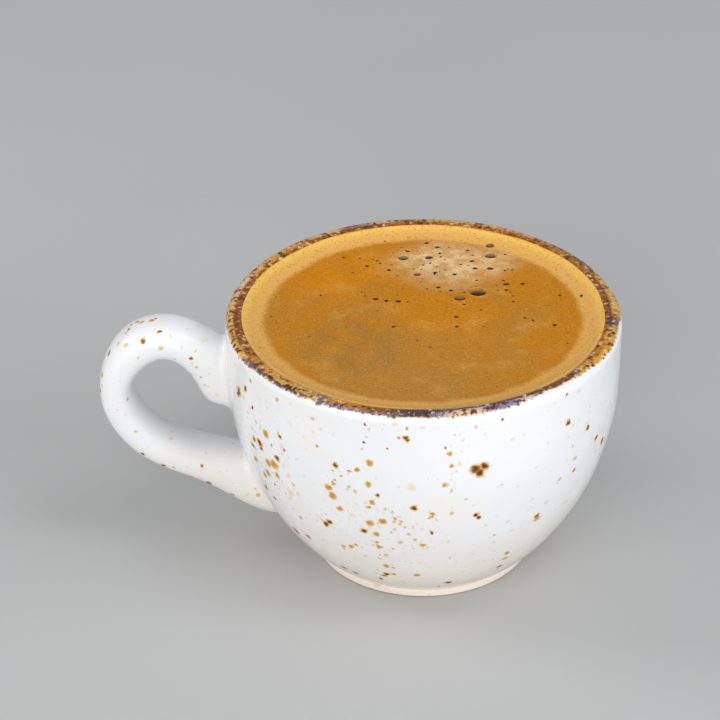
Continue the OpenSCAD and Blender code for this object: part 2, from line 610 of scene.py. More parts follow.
# The specks that stand out on the cup's side: degrees round the cup, height and radius
SPOTS = {
    SpotKind.DARK: (
        (-16, 43.1, 0.3), (-15.5, 40.7, 0.25), (-16.5, 39.6, 0.25), (-4.7, 41.2, 0.5), (-4.2, 40.6, 0.4),
        (-10, 38.9, 0.25), (-25, 34, 0.5), (-44.5, 35.3, 0.5), (-61.5, 39.6, 0.6), (-66.5, 37.4, 0.9),
        (-67.5, 36.7, 0.6), (-57.5, 37.2, 0.35), (-46.5, 30.4, 0.65), (-54.5, 31.2, 0.8),
        (-54, 30.2, 0.5), (-57.5, 31, 0.6), (-59, 29.2, 0.5), (-13, 29.4, 0.45), (-2.5, 27.4, 0.6),
        (-31.2, 20, 0.7), (-29.8, 20.9, 0.7), (-18, 20.8, 0.65), (-43, 13.5, 0.65), (-50.5, 12.7, 0.7),
        (-54.5, 19.4, 0.5), (-58.5, 20.4, 0.6), (-14, 8.8, 0.7), (-15, 8.2, 0.45), (-17.5, 6.3, 0.45),
        (-34, 6.7, 0.7), (-29.5, 5.9, 0.55), (22.5, 43.1, 0.3), (6, 39.3, 0.25), (14.6, 34.7, 0.95),
        (15.8, 33.8, 0.9), (17, 35, 0.85), (44, 43.4, 0.3), (45, 38, 0.5), (54.5, 34.3, 0.5),
        (60.5, 30.3, 0.5), (66.5, 27.7, 0.7), (15.6, 25.1, 0.5), (16.5, 24.3, 0.5), (37.5, 20.4, 0.55),
        (2.7, 21.7, 0.4), (50, 27.2, 0.45), (31.5, 7.9, 0.6), (10.5, 5.9, 0.7),
    ),
    SpotKind.OCHRE: (
        (-24, 1.3, 0.9), (-19, 0.9, 0.7), (-15, 35.8, 0.75), (-51, 34, 0.85), (-25, 24.8, 0.7),
        (-28, 28.9, 0.8), (-27, 27.3, 0.85), (-26.3, 30, 0.5), (-51.5, 28, 0.9), (-48.5, 28.6, 1.1),
        (-48, 26.5, 0.7), (-53, 25.4, 0.9), (-55.5, 24.2, 0.7), (-59, 26.5, 0.7), (-58, 42.2, 0.5),
        (-31, 36.6, 0.35), (-21, 33.4, 0.4), (-18.5, 34, 0.6), (-15.5, 31.5, 0.7), (-23.5, 32.1, 0.4),
        (-25.5, 31, 0.4), (-14.5, 27.7, 0.6), (-16, 26.6, 0.5), (-8, 24.7, 0.5), (-6.5, 24.2, 0.4),
        (-12, 23.8, 0.7), (-16, 22.9, 0.8), (-14.5, 20.4, 0.6), (-14.5, 18.4, 0.5), (-14, 17.2, 0.7),
        (-22, 16.7, 0.5), (-24, 15.8, 0.6), (-27, 15.2, 0.6), (-13, 11.8, 0.7), (-10.5, 11.4, 0.4),
        (-15.5, 7.9, 0.7), (-11, 9, 0.5), (-2, 9.4, 0.7), (-6.5, 41.1, 0.35), (-4.5, 43, 0.35),
        (8, 35.8, 0.5), (7.5, 38.1, 0.55), (6, 32.2, 0.6), (3, 26.1, 0.55), (0, 18.4, 0.6),
        (30.5, 12.5, 0.6), (31, 10.8, 0.7), (38, 19.8, 0.8), (7, 4, 0.5),
    ),
    SpotKind.FAINT: (
        (-50, 40.6, 0.6), (-40, 39, 0.6), (-25.5, 39.8, 0.35), (-43, 24.2, 1.2), (-42.5, 28, 0.7),
        (-13, 32.9, 0.5), (-3, 31.7, 1.1), (-18.5, 17.5, 0.5), (-1, 13.4, 0.8), (-1.5, 5.2, 0.7),
        (-8, 6.3, 0.7), (21.5, 30.4, 0.5), (25.5, 38.9, 0.65), (29, 39.4, 0.45), (26.5, 21.5, 0.8),
        (33.5, 22.8, 0.5), (33.5, 25.2, 0.5), (40, 22.9, 0.8), (45.5, 30.4, 0.5), (49, 42.6, 0.6),
        (62, 27.3, 0.8), (19.5, 12.1, 0.5), (3.5, 8.3, 0.5), (50, 20, 0.9), (53.5, 23.4, 0.5),
    ),
}

# The same on the handle: place and radius
FLECKS = {
    SpotKind.DARK: (
        (-49.2, -0.6, 41.7, 0.35), (-46.4, -3.9, 41.5, 0.55), (-43.7, -3, 42.8, 0.4),
        (-38.5, -4.5, 38.6, 0.4), (-52.5, -1.5, 37.7, 0.5), (-53.8, -2.4, 34, 0.5),
        (-54.2, -2.4, 30.8, 0.45), (-37.5, -4.5, 17.1, 0.4), (-36.7, -3.7, 13.1, 0.6),
        (-39.6, -3.5, 14.2, 0.45), (-44.2, -4, 16.9, 0.5), (-47.7, -4.1, 19.3, 0.45),
    ),
    SpotKind.OCHRE: (
        (-48.8, 0.5, 42, 0.4), (-47.8, 0.6, 42.5, 0.55), (-46.7, -0.1, 42.9, 0.4),
        (-45.3, -0.3, 43.3, 0.5), (-44.6, 0.3, 43.3, 0.45), (-37.2, -4.4, 34.8, 0.35),
        (-32.7, -3.6, 10.6, 0.45),
    ),
    SpotKind.FAINT: (
        (-36, -2.1, 40.6, 0.6), (-37.7, 0.3, 42, 0.6), (-50.7, -4.6, 34, 0.45),
    ),
}

# Where random specks lie thickest: degrees round the cup, height and how far they reach
DRIFTS = ((-17, 20, 16.0), (-56, 27, 16.0), (-68, 36, 7.0), (150, 24, 18.0), (-140, 16, 13.0))

# Tints of the rim's glaze where it ran thin, thick or pooled; the light blue-grey is partly painted
# sheen
REDDISH, AMBER, GOLD, SAND, PALE_SAND, COCOA, NAVY, SLATE, STEEL_AND_SHEEN, ROSE, UMBER, WHITISH = (
    (0.24, 0.05, 0.004), (0.46, 0.16, 0.006), (0.66, 0.30, 0.014), (0.62, 0.34, 0.060),
    (0.72, 0.52, 0.26), (0.14, 0.055, 0.025), (0.045, 0.045, 0.085), (0.10, 0.10, 0.15),
    (0.20, 0.23, 0.38), (0.72, 0.48, 0.32), (0.17, 0.065, 0.010), (0.74, 0.68, 0.58),
)

# How many mm a level of 1 means in the rim's tables: for its bands, and for its lines
BAND_SPAN, LINE_SPAN = 5.0, 2.0

# The rim by degrees round the cup: its inner band, its outer band, then as lengths across the rim
# where one band gives way to the other, where both end, how wide the line beside the crema is and
# how far the crema's foam climbs
RIM_INNER = {
    -180: REDDISH, -172: AMBER, -165: REDDISH, -146: REDDISH, -138: AMBER, -112: GOLD, -106: REDDISH,
    -74: REDDISH, -64: AMBER, -50: SAND, -36: SAND, -31: SLATE, -27: GOLD, -20: AMBER, -10: UMBER,
    -5: NAVY, 3: NAVY, 7: SLATE, 17: NAVY, 34: COCOA, 48: UMBER, 51: NAVY, 55: SAND, 62: AMBER, 78: GOLD,
    82: NAVY, 87: COCOA, 112: COCOA, 121: AMBER, 138: AMBER, 145: REDDISH, 156: AMBER,
}
# The light blue-grey marks of the outer band at the front are partly painted sheen
RIM_OUTER = {
    -180: SAND, -175: REDDISH, -168: PALE_SAND, -156: UMBER, -148: PALE_SAND, -140: SAND, -118: SAND,
    -108: ROSE, -90: SAND, -66: SAND, -60: SLATE, -40: NAVY, -33: SLATE, -24: STEEL_AND_SHEEN, -8: SLATE, -5: NAVY,
    1: COCOA, 4: STEEL_AND_SHEEN, 9: ROSE, 15: ROSE, 19: STEEL_AND_SHEEN, 27: STEEL_AND_SHEEN, 33: WHITISH, 45: PALE_SAND, 54: SAND,
    70: GOLD, 80: SAND, 84: SLATE, 90: SAND, 112: SAND, 122: UMBER, 146: SAND,
}
RIM_SPLIT = {
    -180: 0.20, -120: 0.20, -100: 0.24, -64: 0.38, -40: 0.40, -30: 0.40, -8: 0.40, 0: 0.36, 8: 0.22,
    14: 0.20, 30: 0.22, 40: 0.36, 60: 0.34, 90: 0.24, 180: 0.18,
}
RIM_REACH = {
    -180: 0.9, -110: 0.9, -95: 0.82, -80: 0.70, -66: 0.70, -50: 0.62, -30: 0.60, -10: 0.57, 8: 0.58,
    24: 0.54, 34: 0.40, 46: 0.40, 58: 0.52, 70: 0.64, 82: 0.58, 92: 0.75, 105: 0.9, 180: 0.9,
}
RIM_LINE = {
    -180: 0.15, -150: 0.3, -125: 0.25, -100: 0.42, -72: 0.36, -60: 0.2, -20: 0.25, 40: 0.3, 90: 0.4,
    115: 0.3, 140: 0.25, 150: 0.4, 180: 0.15,
}
FOAM_ON_RIM = {
    -180: 0.0, -75: 0.0, -55: 0.25, -25: 0.3, 30: 0.3, 60: 0.2, 75: 0.0, 180: 0.0,
}


@dataclass(frozen=True)
class Glaze:
    """Glossy white glaze with iron specks, under a mottled brown rim; warmer low down, partly as painted
    bounce light.
    """

    white: Colour = (0.80, 0.81, 0.83)
    # Cream is the glaze's warm tone and, towards the foot, also painted warm bounce light from the floor
    cream: Colour = (0.84, 0.775, 0.70)
    clay: Colour = (0.56, 0.45, 0.34)
    ochre: Colour = (0.66, 0.36, 0.010)
    amber: Colour = (0.48, 0.18, 0.003)
    rust: Colour = (0.30, 0.080, 0.003)
    burnt: Colour = (0.085, 0.026, 0.005)
    soot: Colour = (0.050, 0.016, 0.006)
    sand: Colour = (0.74, 0.50, 0.12)
    # Pale gold of the rim's mottle, partly the glaze and partly a painted highlight
    pale_gold_and_gleam: Colour = (0.86, 0.58, 0.28)
    foam: Colour = (0.50, 0.28, 0.09)
    peach: Colour = (0.76, 0.52, 0.30)
    foot: Colour = (0.80, 0.71, 0.62)
    speck_share: float = 0.8
    rim_from: float = 0.27
    rim_draw: float = 0.75
    white_from: float = 26.0
    foot_tint_to: float = 3.0
    bare_to: float = 0.3
    roughness: float = 0.13
    bare_roughness: float = 0.6
    specular: float = 0.28

    def material(self, cup: CupSizes) -> bpy.types.Material:
        """The finish of the whole cup, down to the bare clay under its foot.

        Args:
            cup: the cup's sizes, for the rim's and the foot's heights.

        Returns:
            The material.
        """
        net = Net("speckled_glaze")
        at = net.place()
        z = at.parts()[2]
        rough_at = net.shake(net.shake(at, 0.9, 0.9), 3.2, 0.35)
        cloudy = net.noise(at, 0.06).step(0.45, 0.75)
        # Cream at the foot turning white by white_from: partly the glaze's tone, partly painted warm
        # bounce light from below
        body = net.blend(self.cream, (self.white, z.step(0.0, self.white_from)),
                         (self.cream, cloudy * 0.35))
        body = self._scattered(net, body, at, rough_at, cup)
        body = self._placed(net, body, rough_at, cup)
        rim, brown = self._rim(net, at, cup)
        low = (z + net.noise(at, 0.5)).step(self.foot_tint_to, self.foot_tint_to * 0.6)
        bare = z.step(self.bare_to, self.bare_to * 0.4)
        relief = net.noise(at, 0.22) * 0.6 + net.noise(at, 1.7) * 0.08 + rim * net.noise(at, 2.2)
        return net.finish({
            "Base Color": net.blend(body, (brown, rim), (self.foot, low * 0.75), (self.clay, bare)),
            "Roughness": bare * self.bare_roughness + rim * 0.03 + self.roughness,
            "Normal": net.bump(relief, 0.5, 0.35),
            "Specular IOR Level": self.specular,
        })

    def _scattered(self, net: Net, body: Tint, at: Arrow, rough_at: Arrow,
                   cup: CupSizes) -> Tint:
        """Random small specks, thickest in DRIFTS and in patches of slow noise.

        Args:
            net: the material's tree.
            body: the colour under them.
            at: the shaded place.
            rough_at: the same, moved a little by noise for ragged outlines.
            cup: the cup's sizes.

        Returns:
            The colour with the specks.
        """
        thick = net.noise(at, 0.09).step(0.48, 0.7) * 0.4 + 0.09
        for angle, height, wide in DRIFTS:
            thick = thick.max(at.distance(cup.on_side(angle, height)).step(wide, wide * 0.3))
        # Cells to a mm, size of the largest speck, share of cells with one, tint and strength
        layers = (
            (0.7, 0.42, 0.6, self.sand, 0.4),
            (1.1, 0.30, 0.9, self.sand, 0.4),
            (0.85, 0.42, 0.7, self.ochre, 0.7),
            (0.5, 0.4, 0.14, self.amber, 0.9),
        )
        for per_mm, largest, share, tint, strength in layers:
            away, size, chance = net.cells(rough_at + (7.0 / per_mm, 0.0, 3.0), per_mm)
            inside = (size * size * largest + 0.08) - away
            mask = inside.step(-0.08, 0.16) * (chance < thick * share + 0.02)
            body = net.blend(body, (tint, mask * strength))
        return body

    def _placed(self, net: Net, body: Tint, rough_at: Arrow, cup: CupSizes) -> Tint:
        """The specks of SPOTS and FLECKS: a halo, a middle and a core, by their kind.

        A place's nearness to a speck is 1 - distance / radius, and the nearest speck counts.

        Args:
            net: the material's tree.
            body: the colour under them.
            rough_at: the shaded place, moved a little by noise.
            cup: the cup's sizes.

        Returns:
            The colour with the specks.
        """
        nearness = {}
        for kind, rows in SPOTS.items():
            spots = [(cup.on_side(angle, height), radius) for angle, height, radius in rows]
            spots += [((x, y, z), radius) for x, y, z, radius in FLECKS[kind]]
            near = (1.0 - rough_at.distance(place) / (radius * self.speck_share)
                    for place, radius in spots)
            nearness[kind] = reduce(Wire.max, near)
        # Kind, where the tint starts and is full by nearness, tint and strength
        layers = (
            (SpotKind.FAINT, -0.3, 0.8, self.sand, 0.4),
            (SpotKind.OCHRE, -0.4, 0.2, self.ochre, 0.85),
            (SpotKind.OCHRE, 0.1, 0.75, self.amber, 0.75),
            (SpotKind.DARK, -0.75, 0.0, self.ochre, 0.75),
            (SpotKind.DARK, -0.15, 0.25, self.rust, 0.85),
            (SpotKind.DARK, 0.15, 0.6, self.burnt, 0.9),
        )
        return net.blend(body, *((tint, nearness[kind].step(low, high) * strength)
                                 for kind, low, high, tint, strength in layers))

    def _rim(self, net: Net, at: Arrow, cup: CupSizes) -> tuple[Wire, Tint]:
        """The brown rim: two bands side by side, streaked across, with a ragged outer end.

        The way across the rim is the distance from the axis less that of the crema's edge, plus,
        on the outside, the drop below the rim. The noise reads (x, y) / distance * radius and
        rim_draw times the way across, so its patches are drawn out across the rim. Streak, patch
        and fine are noises about 0 of falling size.

        Args:
            net: the material's tree.
            at: the shaded place.
            cup: the cup's sizes.

        Returns:
            Where the rim's glaze lies, and its colour.
        """
        x, y, z = at.parts()
        from_axis = (at * (1.0, 1.0, 0.0)).length()
        drop = cup.height - z
        corner = cup.radius - cup.round_out
        outside = from_axis.step(corner - 0.3, corner + 0.4)
        across = from_axis - (cup.inside_radius + self.rim_from) + drop * outside
        ring = net.join(x / from_axis * cup.radius, y / from_axis * cup.radius, across * self.rim_draw)
        streak = (net.noise(ring, 0.95) - 0.5) * 2.7
        patch = (net.noise(ring, 0.35) - 0.5) * 2.0
        fine = (net.noise(at, 1.5) - 0.5) * 3.2
        drip = net.noise(ring * (1.0, 1.0, 0.3) + (5.0, 0.0, 0.0), 0.6).step(0.56, 0.72)
        turn = x.turn_of(y * -1.0) + streak * 0.025 + patch * 0.04
        reach = net.level_by_turn(turn, RIM_REACH) * BAND_SPAN
        split = net.level_by_turn(turn, RIM_SPLIT) * BAND_SPAN
        line = net.level_by_turn(turn, RIM_LINE) * LINE_SPAN
        foamy = net.level_by_turn(turn, FOAM_ON_RIM) * LINE_SPAN
        ragged = reach + patch * 0.3 + streak * 0.1 + fine * 0.3 + drip * 0.45
        lies = (ragged - across).step(-0.12, 0.2) * drop.step(8.0, 6.0)
        beyond = (across - split + streak * 0.5 + fine * 0.35).step(-0.2, 0.3)
        beside = (line + streak * 0.2 - across).step(-0.1, 0.12)
        mottle = streak * 0.6 + fine * 0.5
        fringe = (ragged - across + fine * 0.3).step(0.45, 0.1) * lies
        return lies, net.blend(
            net.tint_by_turn(turn, RIM_INNER),
            (net.tint_by_turn(turn, RIM_OUTER), beyond),
            (self.rust, beside * 0.85),
            (self.rust, mottle.step(0.0, 0.2) * 0.65),
            (self.soot, mottle.step(0.11, 0.34) * 0.85),
            # Pale gold patches: partly the glaze, partly a painted highlight
            (self.pale_gold_and_gleam, mottle.step(-0.12, -0.45) * 0.7),
            (self.foam, (foamy + fine * 0.1 - across).step(-0.06, 0.1)),
            (self.peach, fringe * 0.7),
        )


@dataclass(frozen=True)
class Foam:
    """Crema: fine brown foam, paler at its raised edge, with painted light glowing there at the back,
    and greyer where bubbles gather.
    """

    brown: Colour = (0.55, 0.205, 0.006)
    dull: Colour = (0.44, 0.210, 0.040)
    orange: Colour = (0.63, 0.220, 0.001)
    pale: Colour = (0.80, 0.445, 0.120)
    # Painted glow of light on the back of the raised edge
    painted_glow: Colour = (0.98, 0.66, 0.140)
    grey_tan: Colour = (0.84, 0.62, 0.330)
    murk: Colour = (0.33, 0.17, 0.040)
    shade: Colour = (0.27, 0.10, 0.010)
    coffee: Colour = (0.030, 0.012, 0.008)
    roughness: float = 0.42
    wet_shift: float = -0.25
    specular: float = 0.06

    def material(self, crema: CremaSizes) -> bpy.types.Material:
        """The finish of the crema.

        Args:
            crema: the crema's sizes, for its edge.

        Returns:
            The material.
        """
        net = Net("crema_foam")
        at = net.place() * (1.0, 1.0, 0.0)
        drift = net.shake(net.shake(at, 0.07, 9.0), 0.3, 2.0)
        colour = self._drifts(net, at, drift)
        colour = net.blend(colour, self._edge(net, at, crema))
        grain = (net.noise(at, 2.4, 3.0) - 0.5) * 1.6 + (net.noise(at, 0.9) - 0.5) * 0.5
        colour = net.blend(colour, (self.shade, grain.step(0.0, 0.42) * 0.55),
                           (self.pale, grain.step(-0.05, -0.45) * 0.4))
        colour = self._pinholes(net, colour, at)
        pit = net.attribute("pit")
        return net.finish({
            "Base Color": net.blend(colour, (self.coffee, pit.step(0.25, 0.8))),
            "Roughness": pit * self.wet_shift + self.roughness,
            "Normal": net.bump(net.noise(at, 3.5) * 0.5 + net.noise(at, 0.5), 0.35, 0.12),
            "Specular IOR Level": self.specular,
        })

    def _drifts(self, net: Net, at: Arrow, drift: Arrow) -> Tint:
        """The brown of the middle, with warmer, duller and darker places and a cloud of bubbles.

        Args:
            net: the material's tree.
            at: the shaded place, level.
            drift: the same, moved by slow noise.

        Returns:
            The colour.
        """
        def near(x: float, y: float, far: float, full: float) -> Wire:
            """1 within a distance of a place, falling to 0 further off."""
            return at.distance((x, y, 0.0)).step(far, full)

        warm = near(-14.0, 15.5, 16.0, 4.0)
        warm = warm.max(near(3.0, 1.0, 12.0, 3.0) * 0.75).max(near(18.0, 17.0, 10.0, 2.0) * 0.6)
        murky = near(-12.0, -9.0, 13.0, 4.0) * net.noise(drift, 0.2).step(0.3, 0.6)
        cloud = ((drift - (4.5, 18.4, 0.0)) * (0.085, 0.115, 0.0)).length().step(1.2, 0.35)
        broken = net.noise(at, 0.45, 3.0).step(0.36, 0.62) * 0.6 + 0.4
        return net.blend(
            self.brown,
            (self.dull, net.noise(drift, 0.09).step(0.4, 0.65) * 0.5),
            (self.orange, warm * net.noise(drift, 0.15).step(0.3, 0.6)),
            (self.dull, near(-3.0, -24.0, 26.0, 6.0) * 0.7),
            (self.murk, murky * 0.6),
            (self.grey_tan, cloud * broken * 0.9),
            (self.pale, net.noise(at, 0.17, 3.0).step(0.50, 0.80) * 0.3),
        )

    def _edge(self, net: Net, at: Arrow, crema: CremaSizes) -> tuple[Tint, Wire]:
        """The coat on the raised edge, pale at the front, and yellower at the back, where light is
        painted as a glow on its upper slope.

        Args:
            net: the material's tree.
            at: the shaded place, level.
            crema: the crema's sizes.

        Returns:
            Its colour and where it lies.
        """
        from_axis = at.length()
        starts = crema.inside_radius - crema.edge_width
        lies = (from_axis + (net.noise(at, 0.2) - 0.5) * 1.2).step(starts - 0.9, starts + 0.7)
        # Painted glow of light: yellow on the edge's upper slope, growing towards the back
        glow_at_back = at.parts()[1].step(-16.0, 8.0)
        top = from_axis.step(28.2, 30.0)
        return net.blend(self.pale, (self.painted_glow, top * (glow_at_back * 0.7))), lies * 0.85

    def _pinholes(self, net: Net, colour: Tint, at: Arrow) -> Tint:
        """Tiny open bubbles, most of them near the larger ones.

        Args:
            net: the material's tree.
            colour: the colour under them.
            at: the shaded place, level.

        Returns:
            The colour with the holes.
        """
        gather = at.distance((3.0, 14.0, 0.0)).step(20.0, 4.0) * 0.75 + 0.06
        for per_mm, largest, share in ((0.9, 0.2, 0.5), (0.45, 0.3, 0.35)):
            away, size, chance = net.cells(at + (3.0, 5.0, 0.0), per_mm)
            hole = (size * largest + 0.06 - away).step(-0.05, 0.07) * (chance < gather * share)
            colour = net.blend(colour, (self.coffee, hole * 0.65))
        return colour


@dataclass(frozen=True)
class Film:
    """The thin skin of coffee over a bubble, as clouded as its mesh says; its thicker cover towards the
    back is partly a painted reflection.
    """

    tint: Colour = (0.40, 0.25, 0.12)
    roughness: float = 0.1
    specular: float = 0.15

    def material(self) -> bpy.types.Material:
        """The finish of the bubble skins.

        Returns:
            The material.
        """
        net = Net("bubble_film")
        return net.finish({
            "Base Color": self.tint,
            "Roughness": self.roughness,
            "Specular IOR Level": self.specular,
            # The cloud number: the film's own cloudiness, plus a painted reflection that grows towards
            # the back
            "Alpha": net.attribute("cloud"),
        })


@dataclass(frozen=True)
class Liquid:
    """Black coffee under the crema."""

    black: Colour = (0.035, 0.012, 0.006)
    brown: Colour = (0.10, 0.035, 0.012)
    roughness: float = 0.07

    def material(self) -> bpy.types.Material:
        """The finish of the coffee: nearly black, with slow brown clouds and faint ripples.

        Returns:
            The material.
        """
        net = Net("coffee_liquid")
        at = net.place()
        clouds = net.noise(net.shake(at, 0.08, 8.0), 0.12).step(0.45, 0.7)
        return net.finish({
            "Base Color": net.blend(self.black, (self.brown, clouds)),
            "Roughness": self.roughness,
            "Normal": net.bump(net.noise(at, 0.15), 0.3, 0.2),
        })


# --- Pieces ---


def settle(piece: bpy.types.Object, material: bpy.types.Material, slot: Slot,
           node: str | None = None) -> None:
    """Dresses a piece, fixes it to the part, and hides the node that it stands for.

    Args:
        piece: the object.
        material: its finish.
        slot: the material slot that it belongs to.
        node: the CAD node that it replaces, if any.
    """
    piece.data.materials.clear()
    piece.data.materials.append(material)
    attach(piece, ROOT)
    if node:
        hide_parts(node)
    mesh = piece.data
    LOG.info("%s: %d points, %d faces, slot %s", piece.name, len(mesh.vertices), len(mesh.polygons),
             slot.value)


# Unevenness of the cup's side and of its rim, as the waves function reads it
RIPPLES = ((0.045, 3, 0.19, 0.7), (0.035, 5, -0.27, 2.1), (0.025, 8, 0.41, 4.0), (0.015, 13, -0.62, 1.3))
LIP_RISE = ((0.06, 2, 0, 1), (0.05, 5, 0, 0.3), (0.03, 11, 0, 2))
LIP_REACH = ((0.05, 7, 0, 2.6),)


@dataclass(frozen=True)
class Cup:
    """The bowl and its handle, one piece of glazed stoneware."""

    sizes: CupSizes
    handle: HandleSizes
    around: int = 288
    belly_rows: int = 84
    inside_rows: int = 25
    bar_rings: int = 240
    bar_sides: int = 72
    lip_sink: float = 0.05

    def build(self) -> bpy.types.Object:
        """Makes the bowl and the handle and joins them into one solid.

        Returns:
            The object.
        """
        points, quads, triangles = self._bowl()
        bowl = make_mesh("cup_body", points, quads, triangles)
        points, quads, triangles = self._handle()
        handle = make_mesh("handle", points, quads, triangles)
        return merged(bowl, handle)

    def _outline(self) -> np.ndarray:
        """Radius and height along the half section, from under the foot round to the inside.

        Returns:
            An array of rows of 2: hollow, foot ring, neck, belly ellipse, upright band, rim
            arcs, and the inside, whose lower corner is a superellipse of the given fullness.
        """
        s = self.sizes
        foot_in = s.foot_radius - s.foot_ring
        hollow_r = foot_in - s.foot_hollow - s.foot_cove
        hollow = np.stack([np.array([4, 8, 11, 13]) / 13 * hollow_r, np.full(4, s.foot_hollow)], axis=1)
        cove = arc((hollow_r, s.foot_hollow - s.foot_cove), s.foot_cove, 90, 45, 5)
        tread = arc((foot_in + s.foot_tread, s.foot_tread), s.foot_tread, 225, 270, 5)
        edge = arc((s.foot_radius - s.foot_round, s.foot_round), s.foot_round, -90, 0, 7)
        neck = np.array([s.foot_radius, s.foot_height]) + np.array(
            [[0, -0.5], [-0.06, -0.25], [-s.foot_neck, 0], [0.1 - s.foot_neck, 0.12]])
        t = np.linspace(0, math.pi / 2, self.belly_rows)
        z = s.belly_z - (s.belly_z - s.start_z) * np.cos(t)
        belly = np.stack([s.bowl_radius(z), z], axis=1)
        top = s.height - s.round_out
        band_z = np.linspace(s.belly_z, top, 14)[1:-1]
        band = np.stack([np.full(len(band_z), s.radius), band_z], axis=1)
        lip_out = arc((s.radius - s.round_out, top), s.round_out, 0, 90, 12)
        lip_in = arc((s.inside_radius + s.round_in, s.height - s.round_in), s.round_in, 90, 180, 10)
        a = np.linspace(0, math.pi / 2, self.inside_rows + 1)[:-1]
        power = 2 / s.fullness
        floor_z = s.foot_hollow + s.floor
        inside = np.stack([
            s.inside_radius * np.cos(a) ** power,
            s.belly_z - (s.belly_z - floor_z) * np.sin(a) ** power,
        ], axis=1)
        return np.concatenate([hollow, cove, tread, edge, neck, belly, band, lip_out, lip_in,
                               inside])

    def _bowl(self) -> tuple:
        """The bowl as a surface of revolution of its outline, with slow unevenness added.

        Each ring of the outline turns about Z. The outside moves in and out by the waves of
        RIPPLES, and the rim moves by those of LIP_RISE and LIP_REACH.

        Returns:
            Points, quads and triangles.
        """
        s = self.sizes
        outline = self._outline()
        angle = np.arange(self.around) * 2 * math.pi / self.around
        r, z = (np.broadcast_to(column[:, None], (len(outline), self.around)).copy()
                for column in outline.T)
        turn = np.broadcast_to(angle, r.shape)
        outer = np.clip((r - s.inside_radius * 0.2) / 4, 0, 1) * np.clip((z - s.start_z) / 4, 0, 1)
        lip = np.clip((z - (s.height - 3)) / 3, 0, 1)
        outside = np.arange(len(outline))[:, None] < len(outline) - self.inside_rows
        r += waves(turn, z, RIPPLES) * outer * outside
        z += (waves(turn, 0, LIP_RISE) - self.lip_sink) * lip
        r += waves(turn, 0, LIP_REACH) * lip
        points = np.stack([r * np.sin(turn), -r * np.cos(turn), z], axis=-1)
        under, floor = np.array([0, 0, s.foot_hollow]), np.array([0, 0, s.foot_hollow + s.floor])
        return closed_grid(points, under, floor)

    def _guides(self) -> np.ndarray:
        """The rings that guide the handle, as outer and inner points in its own plane.

        Returns:
            Rows of (outer radius, outer height, inner radius, inner height). The first and last
            lie in the wall. Each of the others is a middle, a lean from upright in degrees and
            half a thickness: middle +- half * (sin lean, cos lean).
        """
        s, h = self.sizes, self.handle
        half = h.bar / 2
        upper_top = s.height - h.upper_drop
        upper_mid = upper_top - h.upper_tall / 2
        lower_top = h.lower_rise + h.lower_tall
        lower_mid = h.lower_rise + h.lower_tall / 2
        span = s.height - h.drop - h.lower_rise

        def root(outer_z: float, inner_z: float) -> list[float]:
            """A ring set into the wall."""
            outer_r, inner_r = s.bowl_radius(np.array([outer_z, inner_z])) - h.bite
            return [outer_r, outer_z, inner_r, inner_z]

        def ring(r: float, z: float, lean: float, thick: float) -> list[float]:
            """A free ring."""
            dr, dz = thick * math.sin(math.radians(lean)), thick * math.cos(math.radians(lean))
            return [r + dr, z + dz, r - dr, z - dz]

        def inner(out: float, up: float, lean: float, thick: float) -> list[float]:
            """A free ring placed by shares of the handle's reach and height."""
            return ring(s.radius + s.reach * out, h.lower_rise + span * up, lean, thick)

        upper = root(upper_top, upper_top - h.upper_tall)
        lower = root(h.lower_rise, lower_top)
        upper_r = float(s.bowl_radius(upper_mid)) + 1.1
        lower_r = float(s.bowl_radius(lower_mid)) + 1.6
        return np.array([
            upper,
            upper,
            ring(upper_r, upper_mid - 0.25, -35, h.upper_tall / 2),
            inner(0.16, 0.82, -20, half + 1.1),
            inner(0.42, 0.94, 0, half),
            inner(0.745, 0.885, 40, half + 0.9),
            inner(0.955, 0.64, 110, half),
            inner(0.65, 0.365, 145, half),
            inner(0.14, 0.285, 160, half),
            ring(lower_r, lower_mid + 1.5, 165, h.lower_tall / 2 + 1.2),
            lower,
            lower,
        ])

    def _handle(self) -> tuple:
        """The handle as a superellipse carried along its guides, with fillets at both roots.

        The guides are blended by a uniform cubic B-spline. A ring's point is middle + arm *
        |sin|^(2/n) in the plane and half the width * |cos|^(2/n) across it. Near the bowl each
        point then moves outwards along the wall by f = R - sqrt(R^2 - (R - d)^2), where d is its
        distance from the wall, which rounds the corner with radius R.

        Returns:
            Points, quads and triangles.
        """
        h = self.handle
        guides = self._guides()
        spans = len(guides) - 3
        share = np.linspace(0, 1, self.bar_rings)
        # Rings lie closer together at the tight bends and at the roots
        share = share - 0.62 * np.sin(4 * math.pi * share) / (4 * math.pi)
        share = np.clip(share - 0.3 * np.sin(2 * math.pi * share) / (2 * math.pi), 0, 1)
        at = share * spans
        i = np.minimum(np.floor(at).astype(int), spans - 1)
        t = (at - i)[:, None]
        pair = ((1 - t) ** 3 * guides[i] + (3 * t**3 - 6 * t**2 + 4) * guides[i + 1]
                + (-3 * t**3 + 3 * t**2 + 3 * t + 1) * guides[i + 2] + t**3 * guides[i + 3]) / 6
        middle, arm = (pair[:, :2] + pair[:, 2:]) / 2, (pair[:, :2] - pair[:, 2:]) / 2
        a = np.arange(self.bar_sides) * 2 * math.pi / self.bar_sides
        power = 2 / h.squareness
        along = np.sign(np.sin(a)) * np.abs(np.sin(a)) ** power
        across = np.sign(np.cos(a)) * np.abs(np.cos(a)) ** power * h.width / 2
        flat = middle[:, None] + arm[:, None] * along[None, :, None]
        points = np.stack([-flat[..., 0], np.broadcast_to(across, flat.shape[:2]), flat[..., 1]],
                          axis=-1)
        centre = np.stack([-middle[:, 0], np.zeros(len(middle)), middle[:, 1]], axis=-1)
        points = self._filleted(points, centre)
        return closed_grid(points[::-1], points[-1].mean(0), points[0].mean(0))

